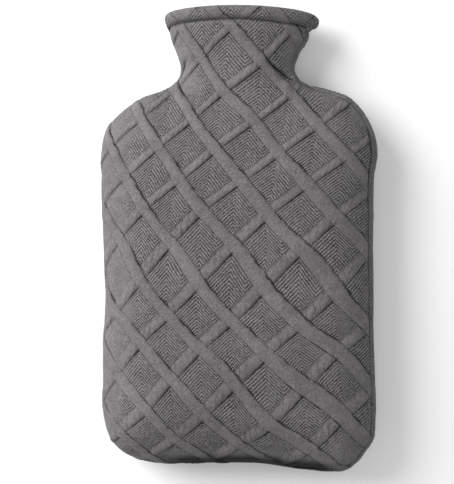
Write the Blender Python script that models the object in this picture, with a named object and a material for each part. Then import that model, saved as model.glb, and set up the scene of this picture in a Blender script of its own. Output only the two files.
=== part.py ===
"""Knitted cover for a two-litre hot water bottle, in its filled form, lying on its back.

X runs across the cover, Y from the base to the mouth and Z up from the surface it lies on.
The cover is two cut panels, front and back, sewn together along both sides and the base.
Each panel runs up into the neck and turns over into a thick hem at the mouth. The knit has
a raised lattice of slanting bands, which stands proud of the cells between them.
"""

import math

import bmesh
import bpy
import numpy as np
from mathutils import Vector
from mathutils.geometry import delaunay_2d_cdt

MM = 0.001

# Cloth
CELL_CLOTH = 2.4 * MM  # thickness of the knit in a cell
BAND_RISE = 1.3 * MM  # how far a band stands above the cells beside it
HEM_CLOTH = 5.2 * MM  # doubled and stuffed cloth of the hem
PANEL_GAP = 0.3 * MM  # gap between the two panels at the seam

# Form
SEAM_LEVEL = 25.0 * MM  # height of the widest line above the surface
SIDE_ROUND = 42.0 * MM  # how far in from the outline the filled side is still rounding
CONTACT_DROP = 1.5 * MM  # how far the back would sag below the surface if it weren't there
ROOT_STRETCH = 0.55  # share of the cloth round a side that is stretched away at the neck's root

# Seam: a plane across the cover, a little to the front on the right-hand side
SEAM_SHIFT = 2.5 * MM
SEAM_SLOPE = 0.06
GROOVE_DEPTH = 1.1 * MM
GROOVE_WIDTH = 2.6 * MM

# Outline of the filled cover, seen from the front, about a working centre that stands
# this far from the middle of the finished cover
WORKING_CENTRE = (-0.4 * MM, 2.3 * MM, 0.0)
# Columns: height, left edge, right edge
SIDES = (
    (160.0, -49.8, 51.4),
    (146.0, -48.5, 48.9),
    (133.0, -43.6, 42.0),
    (122.0, -41.5, 39.3),
    (114.0, -44.5, 42.9),
    (108.0, -53.2, 59.2),
    (101.5, -70.2, 77.7),
    (93.0, -82.8, 87.6),
    (79.5, -95.8, 96.5),
    (62.0, -99.9, 99.8),
    (44.0, -99.6, 97.9),
    (20.0, -99.1, 97.5),
    (-40.0, -97.0, 97.3),
    (-100.0, -98.8, 98.4),
    (-132.0, -97.8, 99.1),
    (-148.0, -92.4, 97.2),
)
# The base, from the left corner to the right one. Columns: across, height
BASE = (
    (-85.4, -155.4),
    (-75.0, -160.6),
    (-64.0, -163.6),
    (-25.0, -164.5),
    (20.0, -165.1),
    (48.0, -168.4),
    (66.0, -170.1),
    (78.0, -169.2),
    (86.5, -163.4),
    (92.6, -155.0),
)

# Fullness of the filled form. Columns: height, front rise, back depth, front crown
FULLNESS = (
    (-170.0, 28.0, 25.0, 2.0),
    (-110.0, 30.0, 26.5, 5.0),
    (-30.0, 28.5, 26.5, 5.0),
    (40.0, 26.0, 26.0, 3.5),
    (85.0, 23.0, 25.0, 1.5),
    (110.0, 20.0, 20.5, 0.0),
    (128.0, 19.0, 18.0, 0.0),
    (165.0, 22.0, 18.5, 0.0),
)

# Mouth: its edge is arched, and lower on the right
MOUTH_HEIGHT = 166.8 * MM
MOUTH_ARCH = 2.4 * MM  # drop of the edge at the two sides
MOUTH_TILT = 1.2 * MM  # the further drop on the right, and rise on the left
MOUTH_HALF = 51.0 * MM
# Hem, below the mouth's edge. Columns: distance below the edge, how far it stands proud
HEM = (
    (0.0, 0.2),
    (1.6, 2.0),
    (4.5, 3.1),
    (7.6, 2.5),
    (9.6, 0.6),
    (10.4, -0.8),
    (11.6, 0.0),
)
HEM_LEAN = 0.6  # share by which the hem stands further out at the right end than midway
HEM_INSIDE = 15.0 * MM  # how far the turned-in layer reaches down inside

# Lattice, in the cloth's own flat measure: where the tips of its first column of cells lie.
# The knit is stretched unevenly, so neither is quite regular. Columns: row, height, across
TIPS = (
    (-2.0, 193.5, -6.0),
    (0.0, 147.0, -6.5),
    (2.0, 100.5, -9.0),
    (4.0, 57.0, -18.5),
    (6.0, 12.0, -27.5),
    (7.0, -12.0, -28.0),
    (8.0, -41.0, -30.0),
    (10.0, -85.5, -28.5),
    (12.0, -133.0, -26.0),
    (14.0, -171.0, -22.0),
    (16.0, -210.0, -18.0),
)
COLUMN_PITCH = 21.0 * MM  # half the distance between two tips of a row
COLUMN_GROWTH = 0.15 * MM  # which is this much more at each row down
COLUMN_SPREAD = 0.5 * MM  # the columns open by this much at each step to the right, squared
ROW_SLANT = 0.035  # the rows fall to the right
SLANT_GROWTH = 0.0035  # and by this much more at each row down
# Share of a repeat that each band takes. The bands that pass under widen down the cover
OVER_SHARE = 0.3
UNDER_SHARES = (0.19, 0.33)
UNDER_ROWS = (0.0, 10.0)
CELL_SHARE = 0.67  # the part of each repeat that the cell takes once the counts are evened out
RAMP_SHARE = 0.07  # the part of each repeat that a band's side takes

# Soft folds at the neck's root. Columns: from across, height, to across, height, rise, half width
FOLDS = (
    (40.0, 111.0, -6.0, 80.0, 1.6, 4.5),
    (44.0, 104.0, 0.0, 74.0, -1.6, 4.0),
    (-30.0, 131.0, -36.0, 112.0, -1.3, 3.5),
    (-44.0, 112.0, -34.0, 92.0, -1.2, 3.5),
    (36.0, 124.0, 44.0, 112.0, -1.4, 4.0),
)

# Mesh
OUTLINE_STEP = 9.0 * MM
FRONT_WRAP = (3.0 * MM, math.radians(16))  # flat margin past the widest line, and its turn
BACK_WRAP = (4.0 * MM, math.radians(27))
RINGS = (0.0, 1.5 * MM, 6.0 * MM, 15.0 * MM, 29.0 * MM)
INSIDE_STEP = 24.0 * MM
MOUTH_POINTS = 15
ROOM_RINGS = (8.0 * MM, 17.0 * MM, 30.0 * MM)
ROOM_DROPS = (-8.0 * MM, HEM_INSIDE, HEM_INSIDE + 2.0 * MM)
MERGE = 0.02 * MM  # points of the flat mesh that are this near are one
SNAP = 0.004  # share of a lattice repeat within which a cut goes through a vertex
REACH = 0.5  # half the size of a cutting block, past everything

KNIT_COLOUR = (0.16, 0.155, 0.157, 1.0)
KNIT_ROUGHNESS = 0.95


def flow(stations, values, at):
    """A cubic through the rows of a table, level past its two ends."""
    slopes = np.gradient(values, stations)
    at = np.clip(at, stations[0], stations[-1])
    row = np.clip(np.searchsorted(stations, at) - 1, 0, len(stations) - 2)
    span = stations[row + 1] - stations[row]
    t = (at - stations[row]) / span
    start = (2 * t**3 - 3 * t**2 + 1) * values[row] + (t**3 - 2 * t**2 + t) * span * slopes[row]
    end = (3 * t**2 - 2 * t**3) * values[row + 1] + (t**3 - t**2) * span * slopes[row + 1]
    return start + end


def smooth_step(low, high, value):
    t = np.clip((value - low) / (high - low), 0.0, 1.0)
    return t * t * (3 - 2 * t)


def seam_curve():
    """Points along the outline from the mouth's left end round the base to its right end."""
    left = [(across, height) for height, across, _ in SIDES]
    right = [(across, height) for height, _, across in reversed(SIDES)]
    past_left = (left[0][0] - 1.0, left[0][1] + 40.0)
    past_right = (right[-1][0] + 1.0, right[-1][1] + 40.0)
    knots = np.array([past_left, *left, *BASE, *right, past_right]) * MM
    chords = np.concatenate([[0.0], np.cumsum(np.linalg.norm(np.diff(knots, axis=0), axis=1))])
    count = round(chords[-1] / OUTLINE_STEP)
    along = np.linspace(0.0, chords[-1], count + 1)
    curve = np.stack([flow(chords, knots[:, i], along) for i in (0, 1)], axis=1)
    tangents = np.gradient(curve, axis=0)
    tangents /= np.linalg.norm(tangents, axis=1)[:, None]
    inward = np.stack([-tangents[:, 1], tangents[:, 0]], axis=1)
    return curve, inward


CURVE, INWARD = seam_curve()


def to_seam(flat):
    """For each flat point: the nearest point of the outline, the way in, and the depth."""
    start, end = CURVE[:-1], CURVE[1:]
    run = end - start
    t = np.einsum("nmk,mk->nm", flat[:, None] - start, run) / (run**2).sum(axis=1)
    t = np.clip(t, 0.0, 1.0)
    foot = start + t[..., None] * run
    gap = np.linalg.norm(flat[:, None] - foot, axis=2)
    nearest = gap.argmin(axis=1)
    every = np.arange(len(flat))
    foot, t = foot[every, nearest], t[every, nearest][:, None]
    inward = INWARD[nearest] * (1 - t) + INWARD[nearest + 1] * t
    inward /= np.linalg.norm(inward, axis=1)[:, None]
    depth = ((flat - foot) * inward).sum(axis=1)
    depth = np.where(depth < 0, -1.0, 1.0) * gap[every, nearest]
    return foot, inward, depth


def mouth_edge(across):
    share = across / MOUTH_HALF
    return MOUTH_HEIGHT - MOUTH_ARCH * share**2 - MOUTH_TILT * share


def fullness(height, column):
    table = np.array(FULLNESS) * MM
    return flow(table[:, 0], table[:, column], height)


def turn(depth, wrap, inset=0.0):
    """Angle round the filled side, from 0 at the widest line to a right angle on top."""
    margin, past = wrap
    share = np.clip((depth - inset) / (SIDE_ROUND - inset), 0.0, 1.0)
    return np.where(depth < 0, past * depth / margin, np.arccos(1 - share))


def unrolled(flat, inward, depth, wrap):
    """Flat points moved out to where the cloth lay before it went round the filled side."""
    rise = 27.0 * MM
    angles = np.linspace(0.0, math.pi / 2, 60)
    steps = np.hypot(np.gradient(SIDE_ROUND * np.cos(angles)), np.gradient(rise * np.sin(angles)))
    length = np.cumsum(steps)
    spare = (length[-1] - length) - SIDE_ROUND * np.cos(angles)
    past = spare[0] - turn(depth, wrap) * rise + depth
    extra = np.where(depth < 0, past, np.interp(depth, SIDE_ROUND * (1 - np.cos(angles)), spare))
    at_root = smooth_step(80 * MM, 106 * MM, flat[:, 1]) * smooth_step(150 * MM, 124 * MM, flat[:, 1])
    extra = extra * (1 - ROOT_STRETCH * at_root)
    at_ends = np.where(flat[:, 1] < 0, 1.0, 0.3)
    return flat - inward * extra[:, None] * np.stack([np.ones_like(extra), at_ends], axis=1)


def evened(count, band):
    """A count with an even share for the cell, from one whose band takes a share of its own."""
    share = count % 1.0
    cell = share * CELL_SHARE / (1 - band)
    past = 1 - (1 - share) * (1 - CELL_SHARE) / band
    return count - share + np.where(share < 1 - band, cell, past)


def lattice(flat, inward, depth, side, wrap):
    """Count of bands crossed by each point, for the two ways that the bands slant."""
    cloth = unrolled(flat, inward, depth, wrap)
    across = cloth[:, 0] * side
    tips = np.array(TIPS) * (1.0, MM, MM)
    rows = np.linspace(tips[0, 0], tips[-1, 0], 400)
    heights = flow(tips[:, 0], tips[:, 1], rows)
    row = np.full(len(cloth), 6.0)
    for _ in range(4):
        tall = cloth[:, 1] + (ROW_SLANT + SLANT_GROWTH * row) * across
        row = np.interp(-tall, -heights, rows)
    pitch = COLUMN_PITCH + COLUMN_GROWTH * row
    past_first = across - flow(tips[:, 0], tips[:, 2], row)
    root = np.sqrt(np.maximum(pitch**2 + 4 * COLUMN_SPREAD * past_first, (0.2 * pitch) ** 2))
    column = (root - pitch) / (2 * COLUMN_SPREAD)
    down = smooth_step(*UNDER_ROWS, row)
    under = UNDER_SHARES[0] * (1 - down) + UNDER_SHARES[1] * down
    return evened((row - column) / 2, OVER_SHARE), evened((row + column) / 2, under)


def band_height(count):
    """0 in a cell and 1 on a band, with sloping sides."""
    share = count % 1.0
    up = smooth_step(CELL_SHARE, CELL_SHARE + RAMP_SHARE, share)
    return up - smooth_step(1 - RAMP_SHARE, 1.0, share)


def fold_height(flat):
    total = np.zeros(len(flat))
    for ax, ay, bx, by, rise, width in FOLDS:
        start, run = np.array([ax, ay]) * MM, np.array([bx - ax, by - ay]) * MM
        t = np.clip((flat - start) @ run / (run @ run), 0.0, 1.0)
        off = np.linalg.norm(flat - start - t[:, None] * run, axis=1) / (width * MM)
        total += rise * MM * np.exp(-(off**2)) * (0.4 + 0.6 * np.sin(np.pi * (0.15 + 0.7 * t)))
    return total


def skin(flat, side, wrap, inset=0.0):
    """Points in space over flat points, and the way out of the cloth at each."""
    foot, inward, depth = to_seam(flat)
    angle = turn(depth, wrap, inset)
    rise = fullness(flat[:, 1], 1 if side > 0 else 2) - inset
    reach = (SIDE_ROUND - inset) * (1 - np.cos(angle)) + inset
    ground = np.where((depth > inset)[:, None], flat, foot + inward * reach[:, None])
    crown = fullness(flat[:, 1], 3) if side > 0 else CONTACT_DROP
    crown = crown * smooth_step(10 * MM, 75 * MM, depth)
    height = SEAM_LEVEL + side * (rise * np.sin(angle) + crown)
    out = np.concatenate([-inward * (rise * np.cos(angle))[:, None],
                          (side * SIDE_ROUND * np.sin(angle))[:, None]], axis=1)
    out /= np.linalg.norm(out, axis=1)[:, None]
    return np.concatenate([ground, height[:, None]], axis=1), out, inward, depth


def seam_plane_height(across):
    return SEAM_LEVEL + SEAM_SHIFT + SEAM_SLOPE * across


def worked_skin(flat, side, wrap):
    """The skin with its bands, hem, folds and seam groove, pressed flat where it lies."""
    points, out, inward, depth = skin(flat, side, wrap)
    first, second = lattice(flat, inward, depth, side, wrap)
    lift = BAND_RISE * np.maximum(band_height(first), band_height(second))
    below = mouth_edge(flat[:, 0]) - flat[:, 1]
    hem = np.array(HEM) * MM
    lift = lift * smooth_step(hem[-1, 0], hem[-1, 0] + 3 * MM, below)
    leaning = 1 + HEM_LEAN * np.clip(flat[:, 0] / MOUTH_HALF, -1, 1)
    lift = lift + np.interp(below, hem[:, 0], hem[:, 1]) * leaning
    if side > 0:
        lift = lift + fold_height(flat)
    off_seam = np.abs(points[:, 2] - seam_plane_height(points[:, 0])) / GROOVE_WIDTH
    groove = np.clip(1 - off_seam, 0.0, 1.0) * (depth < SIDE_ROUND / 3)
    lift = lift * (1 - groove) - GROOVE_DEPTH * groove * (below > hem[-1, 0])
    points = points + out * lift[:, None]
    points[:, 2] = np.maximum(points[:, 2], 0.0)
    return points


def ring(depth):
    """A line round the outline at one depth, cut off at the mouth's edge."""
    line = CURVE + INWARD * depth
    return line[line[:, 1] < mouth_edge(line[:, 0]) + OUTLINE_STEP]


def flat_panel(margin, rings, drops):
    """The panel's flat mesh: its outline, rings inside it and lines along its mouth.

    Its vertices keep their flat place in the layer "plan". Edges that no line needs are
    marked in the layer "spare".
    """
    outer = ring(-margin)
    outer = outer[outer[:, 1] < mouth_edge(outer[:, 0]) - drops[0] - 0.5 * MM]
    lip = np.linspace(outer[-1, 0], outer[0, 0], MOUTH_POINTS)
    edge = np.stack([lip, mouth_edge(lip) - drops[0]], axis=1)
    points = [Vector(p) for p in np.concatenate([outer, edge])]
    border = list(range(len(points)))
    lines = []
    for line in [ring(depth) for depth in rings] + [edge - (0, drop - drops[0]) for drop in drops[1:]]:
        first = len(points)
        points += [Vector(p) for p in line]
        lines += [(i, i + 1) for i in range(first, len(points) - 1)]
    grid = np.arange(-160 * MM, 160 * MM, INSIDE_STEP)
    spots = np.array([(x + (j % 2) * INSIDE_STEP / 2, y) for j, y in enumerate(grid) for x in grid])
    inside = to_seam(spots)[2] > rings[-1] + INSIDE_STEP / 3
    inside &= mouth_edge(spots[:, 0]) - spots[:, 1] > drops[-1] + INSIDE_STEP / 3
    points += [Vector(p) for p in spots[inside]]
    points, edges, faces, _, from_lines, _ = delaunay_2d_cdt(points, lines, [border], 1, MERGE)

    mesh = bmesh.new()
    plan = mesh.verts.layers.float_vector.new("plan")
    spare = mesh.edges.layers.int.new("spare")
    verts = [mesh.verts.new((*point, 0)) for point in points]
    for vert in verts:
        vert[plan] = vert.co
    for face in faces:
        mesh.faces.new([verts[i] for i in face])
    for (a, b), from_line in zip(edges, from_lines):
        edge = mesh.edges.get((verts[a], verts[b]))
        if edge and not from_line:
            edge[spare] = 1
    return mesh


def plan_of(mesh):
    plan = mesh.verts.layers.float_vector["plan"]
    return np.array([vert[plan][:2] for vert in mesh.verts])


def move(mesh, points):
    for vert, point in zip(mesh.verts, points):
        vert.co = point


def cut_bands(mesh, side, wrap):
    """Cuts the flat mesh along both edges of each band's two sides."""
    flat = plan_of(mesh)
    counts = lattice(flat, *to_seam(flat)[1:], side, wrap)
    move(mesh, np.stack([*counts, np.zeros(len(flat))], axis=1))
    shares = (0.0, CELL_SHARE, CELL_SHARE + RAMP_SHARE, 1 - RAMP_SHARE)
    for axis in (0, 1):
        for whole in range(math.floor(counts[axis].min()), math.ceil(counts[axis].max())):
            for share in shares:
                at = [0.0, 0.0, 0.0]
                at[axis] = whole + share
                everything = mesh.verts[:] + mesh.edges[:] + mesh.faces[:]
                bmesh.ops.bisect_plane(
                    mesh, geom=everything, dist=SNAP, plane_co=at, plane_no=[float(i == axis) for i in range(3)]
                )


def drop_spare_edges(mesh):
    spare = mesh.edges.layers.int["spare"]
    alone = [v for v in mesh.verts if not v.is_boundary and all(e[spare] for e in v.link_edges)]
    bmesh.ops.dissolve_verts(mesh, verts=alone)
    unused = [e for e in mesh.edges if e[spare] and not e.is_boundary]
    bmesh.ops.dissolve_edges(mesh, edges=unused, use_verts=True)
    bmesh.ops.triangulate(mesh, faces=mesh.faces[:])


def close_behind(mesh):
    """Closes a half form: one face over its mouth, and one over the rest of its border."""
    plan = mesh.verts.layers.float_vector["plan"]
    start = next(edge for edge in mesh.edges if edge.is_boundary)
    border = [start.verts[0], start.verts[1]]
    while True:
        here, before = border[-1], border[-2]
        step = next(e for e in here.link_edges if e.is_boundary and before not in e.verts)
        ahead = step.other_vert(here)
        if ahead == border[0]:
            break
        border.append(ahead)
    on_lip = [abs(mouth_edge(v[plan][0]) - v[plan][1]) < 0.05 * MM for v in border]
    first = next(i for i in range(len(border)) if on_lip[i] and not on_lip[i - 1])
    border = border[first:] + border[:first]
    lip = sum(on_lip)
    mesh.faces.new(border[:lip])
    mesh.faces.new(border[lip - 1 :] + border[:1])
    bmesh.ops.recalc_face_normals(mesh, faces=mesh.faces[:])


def finish(mesh, name, collection):
    data = bpy.data.meshes.new(name)
    bmesh.ops.triangulate(mesh, faces=mesh.faces[:])
    mesh.to_mesh(data)
    mesh.free()
    for layer in ("plan", "spare"):
        if layer in data.attributes:
            data.attributes.remove(data.attributes[layer])
    data.shade_smooth()
    thing = bpy.data.objects.new(name, data)
    collection.objects.link(thing)
    return thing


def half_form(name, side, wrap, collection):
    """The solid half of the filled form whose outer face is one worked panel."""
    mesh = flat_panel(wrap[0], RINGS, [row[0] * MM for row in HEM])
    cut_bands(mesh, side, wrap)
    drop_spare_edges(mesh)
    move(mesh, worked_skin(plan_of(mesh), side, wrap))
    close_behind(mesh)
    return finish(mesh, name, collection)


def bottle_room(collection):
    """The space inside the cloth, running out past the mouth."""
    whole = bmesh.new()
    for side in (1, -1):
        half = flat_panel(-CELL_CLOTH, ROOM_RINGS, ROOM_DROPS)
        flat = plan_of(half)
        below = mouth_edge(flat[:, 0]) - flat[:, 1]
        in_hem = smooth_step(HEM_INSIDE + 2 * MM, HEM_INSIDE, below)
        inset = CELL_CLOTH + (HEM_CLOTH - CELL_CLOTH) * in_hem
        points = skin(flat, side, (MM, 0.0), inset)[0]
        if side < 0:
            points[:, 2] = np.maximum(points[:, 2], CELL_CLOTH)
        move(half, points)
        data = bpy.data.meshes.new("room_half")
        half.to_mesh(data)
        half.free()
        whole.from_mesh(data)
        bpy.data.meshes.remove(data)
    bmesh.ops.remove_doubles(whole, verts=whole.verts[:], dist=0.01 * MM)
    bmesh.ops.holes_fill(whole, edges=[e for e in whole.edges if e.is_boundary], sides=0)
    bmesh.ops.recalc_face_normals(whole, faces=whole.faces[:])
    return finish(whole, "bottle_room", collection)


def seam_block(name, side, collection):
    """A block with one face on the seam plane, half the gap into the panel on that side."""
    mesh = bmesh.new()
    bmesh.ops.create_cube(mesh, size=2 * REACH)
    block = finish(mesh, name, collection)
    reach = REACH * math.hypot(1.0, SEAM_SLOPE)  # from its centre up to its leaning face
    block.location.z = SEAM_LEVEL + SEAM_SHIFT + side * (PANEL_GAP / 2 - reach)
    block.rotation_euler = (0.0, -math.atan(SEAM_SLOPE), 0.0)
    return block


def cut_away(thing, cutter, name):
    cut = thing.modifiers.new(name, "BOOLEAN")
    cut.operation = "DIFFERENCE"
    cut.solver = "EXACT"
    cut.object = cutter


def knit_material():
    material = bpy.data.materials.new("grey_knit")
    material.use_nodes = True
    shader = material.node_tree.nodes["Principled BSDF"]
    shader.inputs["Base Color"].default_value = KNIT_COLOUR
    shader.inputs["Roughness"].default_value = KNIT_ROUGHNESS
    shader.inputs["Metallic"].default_value = 0.0
    return material


def main():
    for thing in list(bpy.data.objects):
        bpy.data.objects.remove(thing)
    cover = bpy.data.collections.new("bottle_cover")
    cutters = bpy.data.collections.new("cutters")
    bpy.context.scene.collection.children.link(cover)
    bpy.context.scene.collection.children.link(cutters)

    centre = bpy.data.objects.new("working_centre", None)
    centre.location = WORKING_CENTRE
    cover.objects.link(centre)
    knit = knit_material()
    room = bottle_room(cutters)
    for name, side, wrap in (("front_panel", 1, FRONT_WRAP), ("back_panel", -1, BACK_WRAP)):
        panel = half_form(name, side, wrap, cover)
        panel.data.materials.append(knit)
        cut_away(panel, room, "room inside")
        cut_away(panel, seam_block(f"seam_block_{name}", side, cutters), "seam")
    for cutter in cutters.objects:
        cutter.hide_render = True
        cutter.display_type = "WIRE"
    for thing in [*cover.objects, *cutters.objects]:
        if thing is not centre:
            thing.parent = centre


main()
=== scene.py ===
"""Looks of a knitted cover for a two-litre hot water bottle, filled and lying on its back.

X runs across the cover, Y from the base to the mouth and Z up from the surface it lies on,
all in metres. Each panel is one sheet of knit. Its mesh is laid out along its own lattice,
so that the slanting bands, the herringbone ribs in the cells and the rolled hem are raised
in its points, and the stitches are left to the material.
"""

import math

import bmesh
import bpy
import numpy as np
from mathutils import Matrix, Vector


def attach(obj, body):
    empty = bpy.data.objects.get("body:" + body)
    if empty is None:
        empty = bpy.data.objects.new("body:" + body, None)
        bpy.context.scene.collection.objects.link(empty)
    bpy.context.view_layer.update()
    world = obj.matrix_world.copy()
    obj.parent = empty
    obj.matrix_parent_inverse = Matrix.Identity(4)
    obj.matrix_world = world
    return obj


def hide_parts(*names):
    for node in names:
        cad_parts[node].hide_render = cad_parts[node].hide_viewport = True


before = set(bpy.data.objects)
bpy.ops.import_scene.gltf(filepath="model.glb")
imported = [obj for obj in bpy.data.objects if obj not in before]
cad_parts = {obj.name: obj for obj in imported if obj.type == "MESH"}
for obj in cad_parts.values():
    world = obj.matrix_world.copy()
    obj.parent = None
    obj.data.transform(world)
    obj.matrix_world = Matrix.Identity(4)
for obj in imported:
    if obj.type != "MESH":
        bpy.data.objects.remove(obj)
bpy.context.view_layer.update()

MM = 0.001

# Cloth
CLOTH = 2.4 * MM  # thickness of the knit
PANEL_GAP = 0.3 * MM  # gap between the two panels at the seam

# Form of the filled cover
SEAM_LEVEL = 25.0 * MM  # height of the widest line above the surface
SIDE_ROUND = 42.0 * MM  # how far in from the outline the filled side is still rounding
SIDE_RISE = 27.0 * MM  # rise of the average side, which the cloth goes round
MITRE_FROM = 12.0 * MM  # from this depth on, the cloth of two sides can meet in a corner
ROOT_STRETCH = 0.55  # share of the cloth round a side that is stretched away at the neck's root
ROOT_FROM = (80.0 * MM, 106.0 * MM)  # heights between which the root sets in
ROOT_TO = (150.0 * MM, 124.0 * MM)  # heights between which it sets in from above
LENGTHWISE = (1.0, 0.3)  # how far the cloth round a side counts lengthwise, below and above
CROWN_FROM = (10.0 * MM, 75.0 * MM)  # how far in from the outline the crown begins, and is full
CONTACT_DROP = 1.5 * MM  # how far the back would sag below the surface if it weren't there

# Seam: a plane across the cover, a little to the front on the right-hand side
SEAM_SHIFT = 2.5 * MM
SEAM_SLOPE = 0.06
GROOVE_DEPTH = 1.6 * MM
GROOVE_WIDTH = 1.9 * MM
GROOVE_LIFT = 2.8 * MM  # how far to the front of the seam its groove lies along the right side
SHOULDER_FROM = (84.0 * MM, 66.0 * MM)  # heights between which the groove gets weak
SEAM_REACH = (9.0 * MM, 0.5 * MM)  # depths between which the relief gets soft towards the seam
SEAM_CLEAR = (0.5 * MM, 4.0 * MM)  # heights above the seam between which the relief comes up
SEAM_FAINT = (3.5 * MM, 0.5 * MM)  # and between which the ribs go, coming down
EDGE_RISE = 0.7 * MM  # how far the knit stands off along the seam at the right
RIGHT_REACH = 60.0 * MM  # across, to where what happens along the right side is at its full
BASE_SHADE_SPAN = (-62.0 * MM, 80.0 * MM)  # along the base, from and to where painted shade darkens the underside and the ribs go flat
BASE_SHADE_EASE = 22.0 * MM  # how far it takes to set in at each end
BASE_SHADE_BELOW = (-135.0 * MM, -150.0 * MM)  # heights between which it sets in
BASE_RIB_FADE = (24.0 * MM, 13.0 * MM)  # depths between which its ribs go
BASE_SHADE_TOP = (45.0 * MM, 38.0 * MM)  # levels above the surface between which its painted shade sets in
BASE_SHADE_FLOOR = (12.0 * MM, 22.0 * MM)  # levels between which its painted shade stops, further down

# Outline seen from the front, about a working centre that stands this far from the middle
WORKING_CENTRE = (-0.4 * MM, 2.3 * MM, 0.0)
# Columns: height, left edge, right edge, in millimetres
SIDES = (
    (160.0, -50.6, 52.6),
    (146.0, -49.4, 50.6),
    (133.0, -44.6, 43.2),
    (122.0, -42.3, 40.3),
    (114.0, -45.4, 44.8),
    (108.0, -54.2, 63.2),
    (101.5, -71.0, 80.8),
    (93.0, -83.4, 89.2),
    (79.5, -96.2, 97.0),
    (62.0, -100.2, 100.7),
    (44.0, -99.9, 98.2),
    (20.0, -99.4, 97.8),
    (-40.0, -97.3, 97.6),
    (-100.0, -99.0, 98.6),
    (-132.0, -98.0, 99.3),
    (-148.0, -92.6, 97.4),
)
# The base, from the left corner to the right one. Columns: across, height
BASE = (
    (-85.4, -155.4),
    (-75.0, -160.6),
    (-64.0, -163.6),
    (-25.0, -164.5),
    (20.0, -165.1),
    (48.0, -168.4),
    (66.0, -170.1),
    (78.0, -169.2),
    (86.5, -163.4),
    (92.6, -155.0),
)
# Fullness of the filled form. Columns: height, front rise, back depth, front crown
FULLNESS = (
    (-170.0, 28.0, 25.0, 2.0),
    (-110.0, 30.0, 26.5, 5.0),
    (-30.0, 28.5, 26.5, 5.0),
    (40.0, 26.0, 26.0, 3.5),
    (85.0, 23.0, 25.0, 1.5),
    (110.0, 20.0, 20.5, 0.0),
    (128.0, 19.0, 18.0, 0.0),
    (165.0, 22.0, 18.5, 0.0),
)

# Mouth: its edge is arched, and lower on the right
MOUTH_HEIGHT = 166.8 * MM
MOUTH_ARCH = 3.5 * MM
MOUTH_TILT = 0.35 * MM
MOUTH_HALF = 51.0 * MM
# Hem, from its crease over the lip and down inside. Columns: distance below the mouth's
# edge, how far the cloth stands out from the neck
HEM = (
    (11.5, 0.0),
    (10.0, -0.5),
    (9.3, -1.3),
    (8.8, 0.5),
    (7.4, 2.5),
    (4.6, 3.3),
    (2.2, 3.1),
    (0.8, 1.9),
    (0.1, 0.1),
    (0.0, -1.4),
    (0.5, -3.2),
    (2.2, -4.8),
    (5.0, -5.4),
    (15.0, -5.2),
)
HEM_PLAIN = (-3.0 * MM, 2.0 * MM)  # along the hem, between which the cloth gets plainer
HEM_LEAN = 0.95  # share by which the hem stands further out at its right end than midway
HEM_WIDEN = (0.16, 0.26)  # share by which the hem is taller at its left and right ends
HEM_CREASE = 2.2 * MM  # how far along the hem its crease is deepest
# Width of the painted shade in the hem's crease
HEM_SHADE_WIDTH = 1.3 * MM
INSIDE_STEPS = 10  # points of the plain inner face to each repeat
INSIDE_FROM = 17.0 * MM  # the single layer inside starts this far below the mouth's edge
# Degrees past the widest line to which the front (1) and back (-1) panels are made, then trimmed
MARGINS = {1: -13, -1: -27}

# Lattice, in the cloth's own flat measure: where the tips of its first column of cells lie.
# The knit is stretched unevenly, so neither is quite regular. Columns: row, height, across
TIPS = (
    (-2.0, 193.5, -6.0),
    (0.0, 147.0, -6.5),
    (2.0, 100.5, -9.0),
    (4.0, 57.0, -18.5),
    (6.0, 12.0, -27.5),
    (7.0, -12.0, -28.0),
    (8.0, -41.0, -30.0),
    (10.0, -85.5, -28.5),
    (12.0, -133.0, -26.0),
    (14.0, -171.0, -22.0),
    (16.0, -210.0, -18.0),
)
COLUMN_PITCH = 21.0 * MM  # half the distance between two tips of a row
COLUMN_GROWTH = 0.15 * MM  # which is this much more at each row down
COLUMN_SPREAD = 0.5 * MM  # the columns open by this much at each step to the right, squared
ROW_SLANT = 0.035  # the rows fall to the right
SLANT_GROWTH = 0.0035  # and by this much more at each row down
CELL_SHARE = 0.67  # the part of each repeat that the mesh gives to the cell
# Share of a repeat that each band really takes, at the first and the last of these rows
WIDER_ROWS = (0.0, 10.0)
OVER_SHARES = (0.26, 0.3)  # the bands that pass over
OVER_RIGHT = 0.018  # which widen by this much more at each column to the right
UNDER_SHARES = (0.2, 0.29)  # the bands that pass under
# Where the knit is pulled aside from that. Columns: row, column, across, up
PULLS = (
    (1.0, 1.0, 1.5, 0.0),
    (2.0, 0.0, -4.0, 0.0),
    (2.0, 4.0, -3.0, 0.0),
    (10.0, 2.0, 0.0, -2.5),
    (10.0, 4.0, 0.0, 2.5),
    (12.0, -2.0, 3.0, 0.0),
    (12.0, 2.0, 0.0, -4.0),
    (12.0, 4.0, 0.0, 5.0),
    (13.6, 3.8, 0.0, -6.0),
)
PULL_REACH = (1.5, 0.8)  # in rows and columns
# How it wanders besides. Columns: wave across, wave up, start across, start up, how far
WANDER = (
    (17.0, 19.0, 0.6, 4.1, 1.1),
    (6.0, 7.0, 2.9, 5.3, 0.3),
)
REPEATS = (-5, 14)  # the first and one past the last repeat of each band
CLOTH_REACH = (130.0 * MM, -200.0 * MM, 215.0 * MM)  # half width, base and top of what is laid out
RIBS = 13  # herringbone ribs across a cell
TURN_RIBS = 9  # after so many the ribs on the cell's right turn back
# Where the ribs are pulled flat. Columns: across, height, reach across, reach up, how far
FAINT = (
    (-98.0, -20.0, 30.0, 200.0, 0.97),
    (-33.0, 110.0, 14.0, 15.0, 0.75),
    (-42.0, 134.0, 17.0, 24.0, 0.97),
    (38.0, 131.0, 16.0, 24.0, 0.65),
    (-84.0, 88.0, 30.0, 30.0, 0.6),
)
BAND_LINES = (0.0, 0.07, 0.2, 0.38, 0.6, 0.8, 0.93)  # shares of a band's width

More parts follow.
